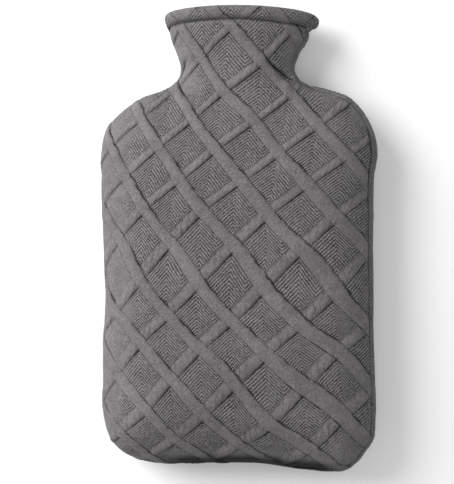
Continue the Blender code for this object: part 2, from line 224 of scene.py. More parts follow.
# Relief
RIB_RISE = 1.0 * MM
CELL_DOME = 0.35 * MM  # how far the middle of a cell stands up
OVER_RISE = 0.95 * MM  # the flat band that passes over
OVER_CROWN = 0.3 * MM  # how far its middle stands up further
CROSSING_RISE = 0.9 * MM  # the least that it stands up where it crosses the other
UNDER_RISE = 1.4 * MM  # the puffed band that passes under it
PUFF_TOP = 0.65  # share of its width at which it is highest
BUNCH_RISE = 1.2 * MM  # what it gains where the cloth bunches up at the neck's root
CREASE = 0.8 * MM
CREASE_BELOW = 0.014  # share of a repeat that the crease below a puffed band takes
CREASE_BESIDE = 0.012  # share of a repeat that the creases beside the others take
PINCHES = 2 * math.pi * 5  # fine upright wrinkles of the puffed bands, to each step across
PINCH_RISE = 0.26 * MM
STITCHES = 2 * math.pi * 1.6  # stitches along a rib, to each rib's width
PURL = 260.0  # stitches of the plain bands, in radians to each repeat
SURFACE_WAVER = 0.35 * MM  # soft unevenness of the filled form
SURFACE_WAVES = (12.0 * MM, 2.2)  # its size and start
PRESSED = 0.6  # share of the relief that is left where the back lies on the surface
PRESSED_BELOW = (4.0 * MM, 0.5 * MM)  # levels between which it gets pressed
CROWDED = (1.5, 2.3)  # how tightly drawn in the cloth is where its ribs begin to go, and are gone

# Folds and creases at the neck's root.
# Columns: from across, height, to across, height, rise, half width
FOLDS = (
    (37.0, 115.0, 31.0, 106.0, 1.6, 4.0),
    (17.0, 127.0, 33.0, 110.0, -1.7, 1.9),
    (-33.0, 129.5, -39.0, 116.0, -1.5, 1.9),
    (-42.5, 116.0, -36.0, 98.0, -0.9, 1.3),
)
ROOT = (14.0, 97.0, 30.0)  # across, height and reach of the place where the bands bunch up

# Camera: straight above the cover, over the middle of the photograph's frame
CAMERA_HEIGHT = 1.15  # above the surface
FRAME_CENTRE = (-8.8 * MM, -1.0 * MM)
PIXEL = 0.731 * MM  # size of one of the photograph's pixels at the level of the widest line
FRAME_TALL = 484 * PIXEL

# Lights. Columns: name, place, size, power
LIGHTS = (
    ("key", (-0.8, 0.45, 0.6), 1.0, 20.0),
    ("fill", (0.5, -0.2, 1.4), 1.6, 6.0),
)
LIT_SPOT = (0.0, 0.0, 0.02)  # which both lights point at
SKY_STRENGTH = 0.46
FLOOR_DROP = 0.4 * MM  # keeps the floor clear of the back panel
FLOOR_HALF = 4.0  # half its width

# Colours
DARK_FIBRE = (0.066, 0.062, 0.063, 1.0)
PALE_FIBRE = (0.212, 0.203, 0.205, 1.0)
# Painted highlight on the ribs' crests, and painted shade in their valleys
RIB_CREST_HIGHLIGHT = (0.27, 0.26, 0.262, 1.0)
RIB_VALLEY_SHADE = (0.022, 0.02, 0.021, 1.0)
# Painted shade in the puffed bands' wrinkles
PINCH_SHADE = (0.04, 0.037, 0.038, 1.0)
# Painted shade in the creases
CREASE_SHADE = (0.018, 0.016, 0.017, 1.0)
# Painted shade in the seam's groove, under the hem, in the folds' creases and along the base's
# underside
HOLLOW_SHADE = (0.003, 0.0027, 0.0027, 1.0)
FLOOR_SHADES = ((0.9, 0.9, 0.9, 1.0), (0.93, 0.93, 0.93, 1.0))

# Where each layer lies in the bake's map: its scale, and its corner
FACE_ROOM = (2.5, (0.30, 0.5))
INSIDE_ROOM = (1.2, (0.78, 0.25))
EDGE_ROOM = (1.3, (0.86, 0.75))
EDGE_COUNTS = (0.8, 0.3)  # the cut edge is plain, as a band is


def flow(stations, values, at):
    """A cubic through the rows of a table, level past its two ends."""
    slopes = np.gradient(values, stations)
    at = np.clip(at, stations[0], stations[-1])
    row = np.clip(np.searchsorted(stations, at) - 1, 0, len(stations) - 2)
    span = stations[row + 1] - stations[row]
    t = (at - stations[row]) / span
    start = (2 * t**3 - 3 * t**2 + 1) * values[row] + (t**3 - 2 * t**2 + t) * span * slopes[row]
    end = (3 * t**2 - 2 * t**3) * values[row + 1] + (t**3 - t**2) * span * slopes[row + 1]
    return start + end


def smooth_step(low, high, value):
    t = np.clip((value - low) / (high - low), 0.0, 1.0)
    return t * t * (3 - 2 * t)


def waver(spots, size, start):
    """A soft, even-handed unevenness from -1 to 1 over flat or solid points."""
    total = np.zeros(len(spots))
    for k in range(4):
        way = np.array([math.cos(start + 2.4 * k), math.sin(start + 2.4 * k)])
        total += np.sin(spots[:, :2] @ way * (1 + 0.37 * k) / size + start * (k + 1))
    return total / 4


# The form ---------------------------------------------------------------------------------


def seam_curve(step=3.0 * MM):
    """Points along the outline from the mouth's left end round the base to its right end."""
    left = [(across, height) for height, across, _ in SIDES]
    right = [(across, height) for height, _, across in reversed(SIDES)]
    past_left = (left[0][0] - 1.0, left[0][1] + 40.0)
    past_right = (right[-1][0] + 1.0, right[-1][1] + 40.0)
    knots = np.array([past_left, *left, *BASE, *right, past_right]) * MM
    chords = np.concatenate([[0.0], np.cumsum(np.linalg.norm(np.diff(knots, axis=0), axis=1))])
    along = np.linspace(0.0, chords[-1], round(chords[-1] / step) + 1)
    curve = np.stack([flow(chords, knots[:, i], along) for i in (0, 1)], axis=1)
    tangents = np.gradient(curve, axis=0)
    tangents /= np.linalg.norm(tangents, axis=1)[:, None]
    return curve, np.stack([-tangents[:, 1], tangents[:, 0]], axis=1)


CURVE, INWARD = seam_curve()

# The quarter turn of the cloth round a filled side, from the widest line to the top
TURN_ANGLES = np.linspace(0.0, math.pi / 2, 90)
TURN_ARC = np.concatenate([[0.0], np.cumsum(np.hypot(
    np.diff(SIDE_ROUND * np.cos(TURN_ANGLES)), np.diff(SIDE_RISE * np.sin(TURN_ANGLES))))])
SLACK = TURN_ARC[-1] / SIDE_ROUND  # cloth round the side for each measure of width


def to_outline(spots):
    """For each flat point: the nearest point of the outline, the way in, and the depth."""
    feet, ways, depths = [], [], []
    start, run = CURVE[:-1], np.diff(CURVE, axis=0)
    for part in np.array_split(spots, max(1, len(spots) // 4000)):
        t = np.einsum("nmk,mk->nm", part[:, None] - start, run) / (run**2).sum(axis=1)
        t = np.clip(t, 0.0, 1.0)
        gap = np.linalg.norm(part[:, None] - start - t[..., None] * run, axis=2)
        nearest = gap.argmin(axis=1)
        every = np.arange(len(part))
        t = t[every, nearest][:, None]
        foot = start[nearest] + t * run[nearest]
        way = INWARD[nearest] * (1 - t) + INWARD[nearest + 1] * t
        side = np.where(((part - foot) * way).sum(axis=1) < 0, -1.0, 1.0)
        way = way * 0.5 * MM + (part - foot) * side[:, None]
        way /= np.linalg.norm(way, axis=1)[:, None]
        feet.append(foot)
        ways.append(way)
        depths.append(side * gap[every, nearest])
    return np.concatenate(feet), np.concatenate(ways), np.concatenate(depths)


def turn(depth):
    """Angle round the filled side, from 0 at the widest line to a right angle on top."""
    arc = depth * SLACK
    return np.where(arc < 0, arc / SIDE_RISE, np.interp(arc, TURN_ARC, TURN_ANGLES))


def mouth_edge(across):
    share = across / MOUTH_HALF
    return MOUTH_HEIGHT - MOUTH_ARCH * share**2 - MOUTH_TILT * share


def fullness(height, column):
    table = np.array(FULLNESS) * MM
    return flow(table[:, 0], table[:, column], height)


def skin(spots, side):
    """Points in space over points of the laid-out panel, and the way out of the cloth."""
    foot, inward, depth = to_outline(spots)
    angle = turn(depth)
    reach = SIDE_ROUND * (1 - np.cos(angle))
    ground = foot + inward * reach[:, None]
    far = depth > MITRE_FROM
    ground[far] = spots[far] + laid_out.at(laid_out.shift, spots[far])
    inward[far] = laid_out.at(laid_out.inward, ground[far])
    reach[far] = laid_out.at(laid_out.depth, ground[far])[:, 0]
    angle[far] = np.arccos(1 - np.clip(reach[far] / SIDE_ROUND, 0, 1))
    rise = fullness(ground[:, 1], 1 if side > 0 else 2)
    crown = fullness(ground[:, 1], 3) if side > 0 else CONTACT_DROP
    crown = crown * smooth_step(*CROWN_FROM, reach)
    height = SEAM_LEVEL + side * (rise * np.sin(angle) + crown)
    out = np.concatenate([-inward * (rise * np.cos(angle))[:, None],
                          (side * SIDE_ROUND * np.sin(angle))[:, None]], axis=1)
    out /= np.linalg.norm(out, axis=1)[:, None]
    return np.concatenate([ground, height[:, None]], axis=1), out, depth


# The lattice ------------------------------------------------------------------------------


def eased(count, band):
    """A count whose band takes that share of each repeat, from one with an even share."""
    share = count % 1.0
    cell = share * (1 - band) / CELL_SHARE
    past = 1 - (1 - share) * band / (1 - CELL_SHARE)
    return count - share + np.where(share < CELL_SHARE, cell, past)


def cloth_spot(first, second, side):
    """Where a pair of band counts lies on the flat cloth."""
    down = smooth_step(*WIDER_ROWS, first + second)
    right = OVER_RIGHT * np.clip(second - first, 0, 5) * down
    first = eased(first, OVER_SHARES[0] * (1 - down) + OVER_SHARES[1] * down + right)
    second = eased(second, UNDER_SHARES[0] * (1 - down) + UNDER_SHARES[1] * down)
    row, column = first + second, second - first
    tips = np.array(TIPS) * (1.0, MM, MM)
    pitch = COLUMN_PITCH + COLUMN_GROWTH * row
    across = flow(tips[:, 0], tips[:, 2], row) + column * pitch + column**2 * COLUMN_SPREAD
    height = flow(tips[:, 0], tips[:, 1], row) - (ROW_SLANT + SLANT_GROWTH * row) * across
    for pulled_row, pulled_column, over, up in PULLS:
        rows_off = (row - pulled_row) / PULL_REACH[0]
        columns_off = (column - pulled_column) / PULL_REACH[1]
        nearness = np.exp(-(rows_off**2 + columns_off**2))
        across += over * MM * nearness
        height += up * MM * nearness
    regular = np.stack([across, height], axis=1)
    spots = regular
    for wide, tall, start_over, start_up, far in WANDER:
        over = waver(regular, wide * MM, start_over)
        up = waver(regular, tall * MM, start_up)
        spots = spots + far * MM * np.stack([over, up], axis=1)
    return spots * (side, 1.0)


class LaidOut:
    """A panel laid out flat, with the cloth of its rounded sides drawn in evenly.

    shift is the way from its points to those of the filled form, seen from the front, and
    pull the way to the same points of the flat cloth. Both are kept on a grid. Where the
    cloth of two sides meets in a corner they would jump, so there they are evened out.
    """

    step = 2.0 * MM
    low = np.array([-130.0, -200.0]) * MM
    size = (131, 216)
    rounds = 16  # of evening out

    def __init__(self):
        lines = [self.low[i] + self.step * np.arange(self.size[i]) for i in (0, 1)]
        spots = np.stack(np.meshgrid(*lines, indexing="ij"), axis=2)
        flat = spots.reshape(-1, 2)
        foot, inward, depth = to_outline(flat)
        angle = turn(depth)
        bent = depth < SIDE_ROUND
        rounded = np.cos(np.maximum(angle, 0)) * SIDE_ROUND
        reach = np.where(bent, SIDE_ROUND - rounded, depth)
        arc = np.clip(depth * SLACK, 0, TURN_ARC[-1])
        extra = TURN_ARC[-1] - arc - rounded + np.maximum(-angle, 0) * SIDE_RISE
        at_root = smooth_step(*ROOT_FROM, foot[:, 1]) * smooth_step(*ROOT_TO, foot[:, 1])
        extra = np.where(bent, extra * (1 - ROOT_STRETCH * at_root), 0.0)
        at_ends = np.where(flat[:, 1] < 0, *LENGTHWISE)
        weights = np.stack([np.ones_like(extra), at_ends], axis=1)
        shift = foot + inward * reach[:, None] - flat
        share = smooth_step(MITRE_FROM, 2.2 * MITRE_FROM, depth).reshape(*self.size, 1)
        self.depth = depth.reshape(*self.size, 1)
        self.inward = inward.reshape(spots.shape)
        self.shift = self.evened(shift.reshape(spots.shape), share)
        pull = shift - inward * extra[:, None] * weights
        self.pull = self.evened(pull.reshape(spots.shape), 1.0)
        self.crowding = self.measured(spots + self.pull)
        self.back = (self.settled(flat, flat, 40) - flat).reshape(spots.shape)

    def evened(self, field, share):
        even = field
        for _ in range(self.rounds):
            around = sum(np.roll(even, way, axis=axis) for way in (1, -1) for axis in (0, 1))
            even = (even + around) / 5
        return field * (1 - share) + even * share

    def measured(self, cloth):
        """Area of flat cloth for each measure of the laid-out panel."""
        over, up = (np.gradient(cloth, self.step, axis=axis) for axis in (0, 1))
        return np.abs(over[..., :1] * up[..., 1:] - over[..., 1:] * up[..., :1])

    def at(self, field, spots):
        place = np.clip((spots - self.low) / self.step, 0, np.array(self.size) - 1.001)
        i, j = place.astype(int).T
        u, v = (place - place.astype(int)).T[..., None]
        return ((field[i, j] * (1 - u) + field[i + 1, j] * u) * (1 - v)
                + (field[i, j + 1] * (1 - u) + field[i + 1, j + 1] * u) * v)

    def settled(self, cloth, spots, rounds):
        for _ in range(rounds):
            spots = spots + 0.8 * (cloth - self.at(self.pull, spots) - spots)
        return spots

    def find(self, cloth):
        """The laid-out points for points of the flat cloth."""
        return self.settled(cloth, cloth + self.at(self.back, cloth), 6)


laid_out = LaidOut()


def relief(first, second, bunch):
    """At each pair of band counts: how far ribs and bands stand up, how deep creases are."""
    # How far across a repeat each point is, for the bands that pass over and those that pass under
    a, b = first % 1.0, second % 1.0

    step = CELL_SHARE / RIBS
    ribs = np.maximum(np.minimum(a, b), b - TURN_RIBS * step) / step
    ribs = RIB_RISE * (1 - np.abs((ribs % 1.0) * 2 - 1))
    along, across = np.clip(a / CELL_SHARE, 0, 1), np.clip(b / CELL_SHARE, 0, 1)
    dome = CELL_DOME * np.sin(np.pi * along) * np.sin(np.pi * across)
    over, under = (a - CELL_SHARE) / (1 - CELL_SHARE), (b - CELL_SHARE) / (1 - CELL_SHARE)

    # The flat band rises at once and falls away over its far half
    flat = OVER_RISE * smooth_step(0, 0.16, over) * smooth_step(1.08, 0.5, over)
    flat += OVER_CROWN * np.sin(np.pi * np.clip(over, 0, 1))

    # The puffed band swells slowly, drops off roundly, and is lower towards both of its ends
    fall = np.sqrt(np.clip(1 - (np.maximum(under - PUFF_TOP, 0) / (1 - PUFF_TOP)) ** 2, 0, 1))
    puff = (UNDER_RISE + BUNCH_RISE * bunch) * smooth_step(-0.05, PUFF_TOP, under) * fall
    puff *= 0.72 + 0.28 * np.sin(np.pi * along) ** 0.7
    flat = np.maximum(flat, CROSSING_RISE * (under >= 0))
    bands = np.where(over >= 0, flat, np.where(under >= 0, puff, dome))

    sink = np.minimum(np.abs(b - 1 + 0.004), b + 0.004) / CREASE_BELOW
    left = np.clip(1 - np.abs(a - CELL_SHARE) / CREASE_BESIDE, 0, 1)
    right = np.clip(1 - np.minimum(a, 1 - a) / CREASE_BESIDE, 0, 1)
    crease = np.where(over < 0, np.clip(1 - sink, 0, 1), 0.0) * CREASE * (1.2 - 0.9 * along)
    crease = np.maximum(crease, CREASE * np.maximum(0.9 * left, 0.3 * right))
    pinch = np.sin((b - a) * PINCHES) * np.sin(np.pi * np.clip(under, 0, 1)) * (over < 0)
    cell = (over < 0) & (under < 0)
    return np.where(cell, ribs, 0.0), bands + PINCH_RISE * pinch, crease


def rib_loss(spots):
    """How far the ribs are pulled flat, from 0 to 1."""
    loss = np.zeros(len(spots))
    for across, height, wide, tall, share in FAINT:
        off = np.hypot((spots[:, 0] - across * MM) / wide, (spots[:, 1] - height * MM) / tall) / MM
        loss = np.maximum(loss, share * smooth_step(1.0, 0.55, off))
    return loss


def fold_height(spots):
    """Height of the folds, and how deep in a crease each point lies, from 0 to 1, for the painted
    shade there.
    """
    total, hollow = np.zeros(len(spots)), np.zeros(len(spots))
    for ax, ay, bx, by, rise, width in FOLDS:
        start, run = np.array([ax, ay]) * MM, np.array([bx - ax, by - ay]) * MM
        t = np.clip((spots - start) @ run / (run @ run), 0.0, 1.0)
        off = np.linalg.norm(spots - start - t[:, None] * run, axis=1) / (width * MM)
        share = np.exp(-(off**2)) * (0.4 + 0.6 * np.sin(np.pi * (0.15 + 0.7 * t)))
        total += rise * MM * share
        if rise < 0:
            hollow = np.maximum(hollow, share**2)
    return total, hollow


# The sheets -------------------------------------------------------------------------------


def hem_path():
    """Length along the hem from its crease, distance below the mouth's edge, stand-out."""
    path = np.array(HEM) * MM
    along = np.concatenate([[0.0], np.cumsum(np.linalg.norm(np.diff(path, axis=0), axis=1))])
    fine = np.linspace(0.0, along[-1], 120)
    below = flow(along, path[:, 0], fine)
    stand = flow(along, path[:, 1], fine)
    return fine, below, stand


HEM_ALONG, HEM_BELOW, HEM_STAND = hem_path()


def seam_plane_height(across):
    return SEAM_LEVEL + SEAM_SHIFT + SEAM_SLOPE * across


def rolled_hem(spots):
    """Where the hem takes laid-out points, how far it stands out, and how far along it they are."""
    share = np.clip(spots[:, 0] / MOUTH_HALF, -1, 1)
    tall = 1 + share**4 * np.where(share < 0, *HEM_WIDEN)
    hem = HEM[0][0] * MM - (mouth_edge(spots[:, 0]) - spots[:, 1]) / tall
    along = np.clip(hem, 0.0, HEM_ALONG[-1])
    rolled = hem > 0
    below = np.where(rolled, np.interp(along, HEM_ALONG, HEM_BELOW), HEM[0][0] * MM - hem)
    stand = np.where(rolled, np.interp(along, HEM_ALONG, HEM_STAND), 0.0)
    stand = stand * np.where((stand > 0) & (share > 0), 1 + HEM_LEAN * share**2, 1.0)
    return np.stack([spots[:, 0], mouth_edge(spots[:, 0]) - below * tall], axis=1), stand, hem


def bunching(spots, side):
    """How far the cloth bunches up at the neck's root, from 0 to 1."""
    off_root = np.linalg.norm(spots - np.array(ROOT[:2]) * MM, axis=1) / (ROOT[2] * MM)
    return np.exp(-(off_root**2)) * (side > 0)


def base_shade_zone(spots):
    """How far each point lies in the stretch along the base whose underside gets painted shade and
    flat ribs, from 0 to 1.
    """
    from_left = smooth_step(0, BASE_SHADE_EASE, spots[:, 0] - BASE_SHADE_SPAN[0])
    from_right = smooth_step(0, BASE_SHADE_EASE, BASE_SHADE_SPAN[1] - spots[:, 0])
    return from_left * from_right * smooth_step(*BASE_SHADE_BELOW, spots[:, 1])


def seam_groove(above_seam, depth, right_side, below_shoulder, plain, side):
    """How deep in the seam's groove each point lies, from 0 to 1."""
    lifted = GROOVE_LIFT * right_side * below_shoulder * (side > 0)
    groove = np.clip(1 - np.abs(above_seam - lifted) / GROOVE_WIDTH, 0.0, 1.0)
    groove = groove * (depth < SIDE_ROUND / 3) * (1 - 0.85 * plain) * (0.3 + 0.7 * below_shoulder)
    return groove * (1.0 if side > 0 else 0.4)


def outer_points(spots, counts, side):
    """The knit's outer face, with its hem rolled over the mouth, and how deep it lies in painted
    shade: in creases, in the seam's groove, under the hem and along the base.
    """
    spots, stand, hem = rolled_hem(spots)
    points, out, depth = skin(spots, side)
    plain = smooth_step(*HEM_PLAIN, hem)
    above_seam = (points[:, 2] - seam_plane_height(points[:, 0])) * side
    below_shoulder = smooth_step(*SHOULDER_FROM, spots[:, 1])
    right_side = smooth_step(0, RIGHT_REACH, spots[:, 0])
    base_zone = base_shade_zone(spots)

    # Ribs go where the cloth is drawn in tightly, along the seam and along the base's underside
    crowded = np.maximum(laid_out.at(laid_out.crowding, spots)[:, 0], 1.0)
    faint = np.maximum(rib_loss(spots), smooth_step(*CROWDED, crowded))
    faint = np.maximum(faint, below_shoulder * smooth_step(*SEAM_FAINT, above_seam))
    if side > 0:
        faint = np.maximum(faint, 0.92 * base_zone * smooth_step(*BASE_RIB_FADE, depth))

    # Relief, softer at the seam and on the hem
    ribs, bands, crease = relief(*counts.T, bunching(spots, side))
    ribs = ribs * (1 - faint) / crowded
    bands = bands - crease * (1 - 0.7 * faint)
    near_seam = smooth_step(*SEAM_REACH, depth)
    soft = 1 - 0.7 * near_seam
    soft = soft * np.maximum(smooth_step(*SEAM_CLEAR, above_seam), 0.4 * (1 - below_shoulder))
    lift = (ribs * (1 - 0.45 * plain) + bands * (1 - 0.8 * plain)) * soft
    lift = lift + EDGE_RISE * near_seam * right_side * (1 - plain)

    groove = seam_groove(above_seam, depth, right_side, below_shoulder, plain, side)
    lift = lift * (1 - groove) - GROOVE_DEPTH * groove
    fold, hollow = fold_height(spots) if side > 0 else (0.0, 0.0)
    lift = lift + fold * (1 - plain)
    lift = lift + SURFACE_WAVER * waver(spots, *SURFACE_WAVES) * (1 - groove)
    lift = lift + stand
    firm = smooth_step(*PRESSED_BELOW, points[:, 2]) if side < 0 else 0.0
    points = points + out * (lift * (1 - (1 - PRESSED) * firm))[:, None]
    points[:, 2] = np.maximum(points[:, 2], 0.0)

    # Painted shade in the hem's crease, in the seam's groove, in the folds' creases and along the
    # base's underside
    hem_crease_shade = np.clip(1 - np.abs(hem - HEM_CREASE) / HEM_SHADE_WIDTH, 0, 1)
    base_shade = base_zone * smooth_step(*BASE_SHADE_TOP, points[:, 2]) * smooth_step(*BASE_SHADE_FLOOR, points[:, 2])
    hollow = np.maximum(np.maximum(hollow * (1 - plain), hem_crease_shade), np.maximum(groove, base_shade))
    return points, np.stack([hollow, 1 - faint], axis=1)


def inner_points(spots, counts, side):
    """The knit's inner face, which is plain."""
    points, out, _ = skin(spots, side)
    points = points - out * CLOTH
    if side < 0:
        points[:, 2] = np.maximum(points[:, 2], CLOTH)
    return points, np.zeros_like(counts)


def knit_layer(side, shares, end, shape):
    """One face of a panel: its points, triangles, and what its points have on them.

    end is how far above the mouth's edge the laid-out layer runs.
    """
    lines = (np.arange(*REPEATS)[:, None] + np.array(shares)).ravel()
    first, second = (grid.ravel() for grid in np.meshgrid(lines, lines, indexing="ij"))
    cloth = cloth_spot(first, second, side)
    half_width, base, top = CLOTH_REACH
    near = (np.abs(cloth[:, 0]) < half_width) & (cloth[:, 1] > base) & (cloth[:, 1] < top)
    spots = np.zeros(cloth.shape)
    spots[near] = laid_out.find(cloth[near])
    margin = MARGINS[side] * SIDE_RISE * math.pi / 180 / SLACK
    inside = laid_out.at(laid_out.depth, spots)[:, 0] > margin
    inside &= near
    past = spots[:, 1] > mouth_edge(spots[:, 0]) + end

    index = np.arange(len(spots)).reshape(len(lines), len(lines))
    corners = [index[:-1, :-1], index[1:, :-1], index[1:, 1:], index[:-1, 1:]]
    quads = np.stack([corner.ravel() for corner in corners], axis=1)
    quads = quads[inside[quads].all(axis=1) & ~past[quads].all(axis=1)]
    used, places = np.unique(quads, return_inverse=True)
    quads = places.reshape(-1, 4)
    spots, counts, cloth = spots[used], np.stack([first, second], axis=1)[used], cloth[used]
    spots[:, 1] = np.minimum(spots[:, 1], mouth_edge(spots[:, 0]) + end)
    faces = np.concatenate([quads[:, [0, 1, 2]], quads[:, [0, 2, 3]]])
    points, hollows = shape(spots, counts, side)
    return points, faces, {"lattice": counts, "OFBake": spots, "hollows": hollows, "cloth": cloth}


def add_layer(mesh, layer, room, side):
    """Trims a layer at the seam and puts it into the mesh.

    room is its scale and corner in the bake's map.
    """
    points, faces, places = layer
    scale, corner = room
    data = bpy.data.meshes.new("layer")
    data.from_pydata(points, [], faces)
    for name in ("lattice", "OFBake", "hollows"):
        values = places[name] * scale + corner if name == "OFBake" else places[name]
        data.uv_layers.new(name=name).data.foreach_set("uv", values[faces.ravel()].ravel())
    trimmed = bmesh.new()
    trimmed.from_mesh(data)
    trim_at_seam(trimmed, side)
    trimmed.to_mesh(data)
    trimmed.free()
    mesh.from_mesh(data)
    bpy.data.meshes.remove(data)


def trim_at_seam(mesh, side):
    """Cuts the mesh off along the seam plane, half the gap into the panel."""
    height = SEAM_LEVEL + SEAM_SHIFT + side * PANEL_GAP / 2
    away = Vector((SEAM_SLOPE, 0.0, -1.0)) * side
    everything = mesh.verts[:] + mesh.edges[:] + mesh.faces[:]
    bmesh.ops.bisect_plane(mesh, geom=everything, dist=0.01 * MM, plane_co=(0, 0, height),
                           plane_no=away, clear_outer=True)


def rims(mesh):
    """The mesh's open edges, as loops of vertices in order."""
    left = {edge for edge in mesh.edges if edge.is_boundary}
    found = []
    while left:
        edge = left.pop()
        loop = [edge.verts[0], edge.verts[1]]
        while True:
            onward = next((e for e in loop[-1].link_edges if e in left), None)
            if onward is None:
                break
            left.discard(onward)
            ahead = onward.other_vert(loop[-1])
            if ahead is loop[0]:
                break
            loop.append(ahead)
        found.append(loop)
    return sorted(found, key=len, reverse=True)


def turned(loop):
    """The loop from its lowest point at the base, running to the right."""
    first = min(range(len(loop)), key=lambda i: loop[i].co.y + abs(loop[i].co.x) * 0.2)
    loop = loop[first:] + loop[:first]
    if loop[len(loop) // 20].co.x < loop[0].co.x:
        loop = loop[:1] + loop[:0:-1]
    return loop


def sew_edges(mesh, outer, inner):
    """Closes the cut edge between a panel's two faces with a strip of triangles."""
    lattice = mesh.loops.layers.uv["lattice"]
    bake = mesh.loops.layers.uv["OFBake"]
    outer, inner = turned(outer), turned(inner)
    outer, inner = outer + outer[:1], inner + inner[:1]
    i = j = 0
    while i < len(outer) - 1 or j < len(inner) - 1:
        if j == len(inner) - 1:
            go_outer = True
        elif i == len(outer) - 1:
            go_outer = False
        else:
            ahead = (outer[i + 1].co - inner[j].co).length
            go_outer = ahead < (outer[i].co - inner[j + 1].co).length
        corners = [outer[i], outer[i + 1] if go_outer else inner[j + 1], inner[j]]
        made = mesh.faces.new(corners)
        for loop in made.loops:
            loop[bake].uv = loop.vert.co.xy * EDGE_ROOM[0] + Vector(EDGE_ROOM[1])
            loop[lattice].uv = EDGE_COUNTS
        i, j = (i + 1, j) if go_outer else (i, j + 1)


def flat_area(layer):
    _, faces, places = layer
    a, b, c = (places["cloth"][faces[:, k]] for k in range(3))
    cross = (b - a)[:, 0] * (c - a)[:, 1] - (b - a)[:, 1] * (c - a)[:, 0]
    return float(np.abs(cross).sum() / 2)


def make_panel(name, side, material):
    ribs = np.arange(2 * RIBS) * CELL_SHARE / (2 * RIBS)
    bands = CELL_SHARE + np.array(BAND_LINES) * (1 - CELL_SHARE)
    face = knit_layer(side, [*ribs, *bands], HEM_ALONG[-1] - HEM[0][0] * MM, outer_points)
    inside = knit_layer(side, np.arange(INSIDE_STEPS) / INSIDE_STEPS, -INSIDE_FROM, inner_points)

    mesh = bmesh.new()
    add_layer(mesh, face, FACE_ROOM, side)
    add_layer(mesh, inside, INSIDE_ROOM, side)
    outer, inner = rims(mesh)[:2]
    sew_edges(mesh, outer, inner)
    bmesh.ops.recalc_face_normals(mesh, faces=mesh.faces[:])

    data = bpy.data.meshes.new(name)
    mesh.to_mesh(data)
    mesh.free()
    data.shade_smooth()
    panel = bpy.data.objects.new(name, data)
    panel.location = WORKING_CENTRE
    bpy.context.scene.collection.objects.link(panel)
    data.materials.append(material)
    return panel, flat_area(face)


# Materials --------------------------------------------------------------------------------


class Value:
    """A shader socket that takes part in plain expressions."""

    def __init__(self, shader, socket):
        self.shader, self.socket = shader, socket

    def math(self, operation, *others):
        values = {0: self}
        values.update({i + 1: other for i, other in enumerate(others)})
        return self.shader.node("ShaderNodeMath", {"operation": operation}, values)["Value"]

    def flipped(self, operation, other):
        values = {0: other, 1: self}
        return self.shader.node("ShaderNodeMath", {"operation": operation}, values)["Value"]

    def __add__(self, other):
        return self.math("ADD", other)

    def __radd__(self, other):
        return self.math("ADD", other)

    def __sub__(self, other):
        return self.math("SUBTRACT", other)

    def __rsub__(self, other):
        return self.flipped("SUBTRACT", other)

    def __mul__(self, other):
        return self.math("MULTIPLY", other)

    def __rmul__(self, other):
        return self.math("MULTIPLY", other)

    def __truediv__(self, other):
        return self.math("DIVIDE", other)

    def __rtruediv__(self, other):
        return self.flipped("DIVIDE", other)


class Shader:
    """Builds one material's nodes."""

    def __init__(self, name):
        self.material = bpy.data.materials.new(name)
        self.material.use_nodes = True
        self.tree = self.material.node_tree
        self.surface = self.tree.nodes["Principled BSDF"]

    def node(self, kind, settings=None, values=None):
        """Adds a node, and gives its outputs by name."""
        made = self.tree.nodes.new(kind)
        for name, setting in (settings or {}).items():
            setattr(made, name, setting)
        for name, value in (values or {}).items():
            self.feed(made.inputs[name], value)
        return {out.name: Value(self, out) for out in reversed(made.outputs)}

    def feed(self, socket, value):
        if isinstance(value, Value):
            self.tree.links.new(value.socket, socket)
        else:
            socket.default_value = value

    def set(self, **values):
        for name, value in values.items():
            self.feed(self.surface.inputs[name.replace("_", " ")], value)

    def noise(self, where, scale, detail=2.0, roughness=0.5):
        return self.node("ShaderNodeTexNoise", {}, {
            "Vector": where, "Scale": scale, "Detail": detail, "Roughness": roughness})["Fac"]

    def between(self, value, low, high):
        """0 below low, 1 above high, and smooth in between."""
        return self.node("ShaderNodeMapRange", {"interpolation_type": "SMOOTHSTEP"}, {
            "Value": value, "From Min": low, "From Max": high})["Result"]

    def blots(self, where, scale, detail, roughness, edge):
        """Noise that is spread out from 0 to 1. edge is what is cut off at either end."""
        return self.between(self.noise(where, scale, detail, roughness), edge, 1 - edge)

    def kept_on_mesh(self, name):
        """The two values that the mesh keeps in the map of that name."""
        pair = self.node("ShaderNodeUVMap", {"uv_map": name})["UV"]
        parts = self.node("ShaderNodeSeparateXYZ", {}, {"Vector": pair})
        return parts["X"], parts["Y"]

    def mix(self, share, first, second):
        made = self.tree.nodes.new("ShaderNodeMix")
        made.data_type = "RGBA"
        self.feed(made.inputs["Factor"], share)
        self.feed([s for s in made.inputs if s.name == "A" and s.type == "RGBA"][0], first)
        self.feed([s for s in made.inputs if s.name == "B" and s.type == "RGBA"][0], second)
        return Value(self, [s for s in made.outputs if s.type == "RGBA"][0])


class KnitPlan:
    """What the knit's shading is worked out from: its lattice, where it gets painted shade and how
    ribbed it is, and its fibres.
    """

    def __init__(self, shader):
        # The band counts, and how far across a repeat of the two kinds of band they are
        self.first, self.second = shader.kept_on_mesh("lattice")
        self.a, self.b = self.first.math("FRACT"), self.second.math("FRACT")
        self.on_over = self.a.math("GREATER_THAN", CELL_SHARE)
        # How deep each point lies in painted shade, and how ribbed it is
        self.hollow, self.ribbed = shader.kept_on_mesh("hollows")

        # The fibres' unevenness, from the finest to the widest
        place = shader.node("ShaderNodeTexCoord")["Object"]
        self.fuzz = shader.blots(place, 2100.0, 2.0, 0.6, 0.3)
        self.speckle = shader.blots(place, 760.0, 2.0, 0.6, 0.34)
        self.patch = shader.blots(place, 150.0, 2.0, 0.5, 0.35)
        self.drift = shader.blots(place, 70.0, 2.0, 0.5, 0.35)
        self.blotch = shader.blots(place, 45.0, 3.0, 0.55, 0.3)
        self.purl = (self.a * PURL).math("SINE") * (self.b * PURL).math("SINE") * 0.5 + 0.5


